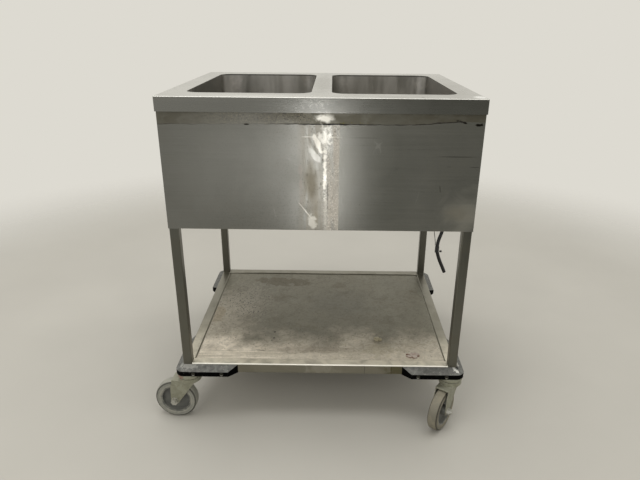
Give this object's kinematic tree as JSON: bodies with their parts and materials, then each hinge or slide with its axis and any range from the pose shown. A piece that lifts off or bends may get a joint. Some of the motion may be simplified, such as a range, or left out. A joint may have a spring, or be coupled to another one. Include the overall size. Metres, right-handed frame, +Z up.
{
  "type": "bain marie trolley",
  "caption": "Stainless steel bain marie trolley with two heated wells, a lower shelf, corner bumpers and swivel castors.",
  "frame": {"origin": "on the floor, midway between the four legs", "axes": "+Z up; -Y towards the plain front, +Y towards the operator's side with the controls and drains; +X to the right as seen from the front"},
  "size_m": [0.9128, 0.8329, 0.95],
  "materials": {
    "top_deck": "satin, worn and stained",
    "well_steel": "satin, water marked",
    "body_steel": "satin, worn and stained",
    "plain_steel": "satin",
    "leg_steel": "satin, dull",
    "rail_steel": "satin, dull",
    "shelf_steel": "satin, dirty",
    "bumper_rubber": "matt, dusty on top",
    "screw_zinc": "zinc plated",
    "element_sheath": "heat tinted",
    "stat_plastic": "moulded",
    "black_plastic": "moulded",
    "lamp_lens": "clear amber",
    "wire_cover": "smooth",
    "pipe_copper": "dull copper",
    "valve_brass": "nickel plated brass",
    "ball_chrome": "polished",
    "lever_red": "painted",
    "rocker_green": "moulded",
    "cord_rubber": "matt",
    "hanger_coat": "coated",
    "castor_zinc": "zinc plated, dull",
    "wheel_disc": "painted pressing",
    "tyre_rubber": "grey, non-marking",
    "pedal_black": "painted"
  },
  "bodies": {
    "trolley": {"top_deck": "top_deck", "well_left": "well_steel", "well_right": "well_steel", "front_panel": "body_steel", "rear_panel": "body_steel", "end_panel_left": "body_steel", "end_panel_right": "body_steel", "bottom_plate": "plain_steel", "control_plate": "plain_steel", "element_clamps": "plain_steel", "drain_fittings": "plain_steel", "leg_front_left": "leg_steel", "leg_front_right": "leg_steel", "leg_rear_left": "leg_steel", "leg_rear_right": "leg_steel", "shelf_long_rails": "rail_steel", "shelf_side_rails": "rail_steel", "shelf_panel": "shelf_steel", "corner_bumpers": "bumper_rubber", "bumper_screws": "screw_zinc", "leg_plugs": "screw_zinc", "castor_studs": "screw_zinc", "heating_elements": "element_sheath", "thermostats": "stat_plastic", "terminal_box": "stat_plastic", "switch_body": "black_plastic", "cable_gland": "black_plastic", "cable_tie": "black_plastic", "pilot_lamps": "lamp_lens", "wiring": "wire_cover", "drain_pipes": "pipe_copper", "valve_bodies": "valve_brass", "mains_cord": "cord_rubber", "hanger_wire": "hanger_coat", "swivel_heads": "castor_zinc"},
    "knob_left": {"knob_left": "black_plastic"},
    "knob_right": {"knob_right": "black_plastic"},
    "rocker": {"rocker": "rocker_green"},
    "drain_valve_left": {"valve_ball_left": "ball_chrome", "valve_lever_left": "lever_red"},
    "drain_valve_right": {"valve_ball_right": "ball_chrome", "valve_lever_right": "lever_red"},
    "castor_front_left": {"fork_front_left": "castor_zinc", "axle_front_left": "castor_zinc"},
    "wheel_front_left": {"wheel_front_left": "wheel_disc", "tyre_front_left": "tyre_rubber"},
    "castor_front_right": {"fork_front_right": "castor_zinc", "axle_front_right": "castor_zinc"},
    "wheel_front_right": {"wheel_front_right": "wheel_disc", "tyre_front_right": "tyre_rubber"},
    "castor_rear_left": {"fork_rear_left": "castor_zinc", "axle_rear_left": "castor_zinc"},
    "wheel_rear_left": {"wheel_rear_left": "wheel_disc", "tyre_rear_left": "tyre_rubber"},
    "pedal_rear_left": {"pedal_rear_left": "pedal_black"},
    "castor_rear_right": {"fork_rear_right": "castor_zinc", "axle_rear_right": "castor_zinc"},
    "wheel_rear_right": {"wheel_rear_right": "wheel_disc", "tyre_rear_right": "tyre_rubber"},
    "pedal_rear_right": {"pedal_rear_right": "pedal_black"}
  },
  "joints": [
    {"name": "knob_left_turn", "type": "hinge", "parent": "trolley", "child": "knob_left", "pos_m": [-0.122, 0.3263, 0.68], "axis": [0, -1, 0], "range_deg": [0, 270]},
    {"name": "knob_right_turn", "type": "hinge", "parent": "trolley", "child": "knob_right", "pos_m": [0.122, 0.3263, 0.68], "axis": [0, -1, 0], "range_deg": [0, 270]},
    {"name": "rocker_tilt", "type": "hinge", "parent": "trolley", "child": "rocker", "pos_m": [0, 0.3205, 0.68], "axis": [1, 0, 0], "range_deg": [0, 20]},
    {"name": "drain_valve_left_turn", "type": "hinge", "parent": "trolley", "child": "drain_valve_left", "pos_m": [-0.186, 0.2075, 0.58], "axis": [0, 1, 0], "range_deg": [0, 90]},
    {"name": "drain_valve_right_turn", "type": "hinge", "parent": "trolley", "child": "drain_valve_right", "pos_m": [0.186, 0.2075, 0.58], "axis": [0, -1, 0], "range_deg": [0, 90]},
    {"name": "castor_front_left_swivel", "type": "hinge", "parent": "trolley", "child": "castor_front_left", "pos_m": [-0.3845, -0.3105, 0.14], "axis": [0, 0, 1], "continuous": true},
    {"name": "wheel_front_left_roll", "type": "hinge", "parent": "castor_front_left", "child": "wheel_front_left", "pos_m": [-0.43039, -0.30729, 0.0625], "axis": [-0.0698, -0.9976, 0], "continuous": true},
    {"name": "castor_front_right_swivel", "type": "hinge", "parent": "trolley", "child": "castor_front_right", "pos_m": [0.3845, -0.3105, 0.14], "axis": [0, 0, 1], "continuous": true},
    {"name": "wheel_front_right_roll", "type": "hinge", "parent": "castor_front_right", "child": "wheel_front_right", "pos_m": [0.35746, -0.34771, 0.0625], "axis": [0.809, -0.5878, 0], "continuous": true},
    {"name": "castor_rear_left_swivel", "type": "hinge", "parent": "trolley", "child": "castor_rear_left", "pos_m": [-0.3845, 0.3105, 0.14], "axis": [0, 0, 1], "continuous": true},
    {"name": "wheel_rear_left_roll", "type": "hinge", "parent": "castor_rear_left", "child": "wheel_rear_left", "pos_m": [-0.37029, 0.35425, 0.0625], "axis": [-0.9511, 0.309, 0], "continuous": true},
    {"name": "pedal_rear_left_press", "type": "hinge", "parent": "castor_rear_left", "child": "pedal_rear_left", "pos_m": [-0.36596, 0.36756, 0.1317], "axis": [-0.9511, 0.309, 0], "range_deg": [0, 14]},
    {"name": "castor_rear_right_swivel", "type": "hinge", "parent": "trolley", "child": "castor_rear_right", "pos_m": [0.3845, 0.3105, 0.14], "axis": [0, 0, 1], "continuous": true},
    {"name": "wheel_rear_right_roll", "type": "hinge", "parent": "castor_rear_right", "child": "wheel_rear_right", "pos_m": [0.37337, 0.35513, 0.0625], "axis": [-0.9703, -0.2419, 0], "continuous": true},
    {"name": "pedal_rear_right_press", "type": "hinge", "parent": "castor_rear_right", "child": "pedal_rear_right", "pos_m": [0.36998, 0.36872, 0.1317], "axis": [-0.9703, -0.2419, 0], "range_deg": [0, 14]}
  ]
}
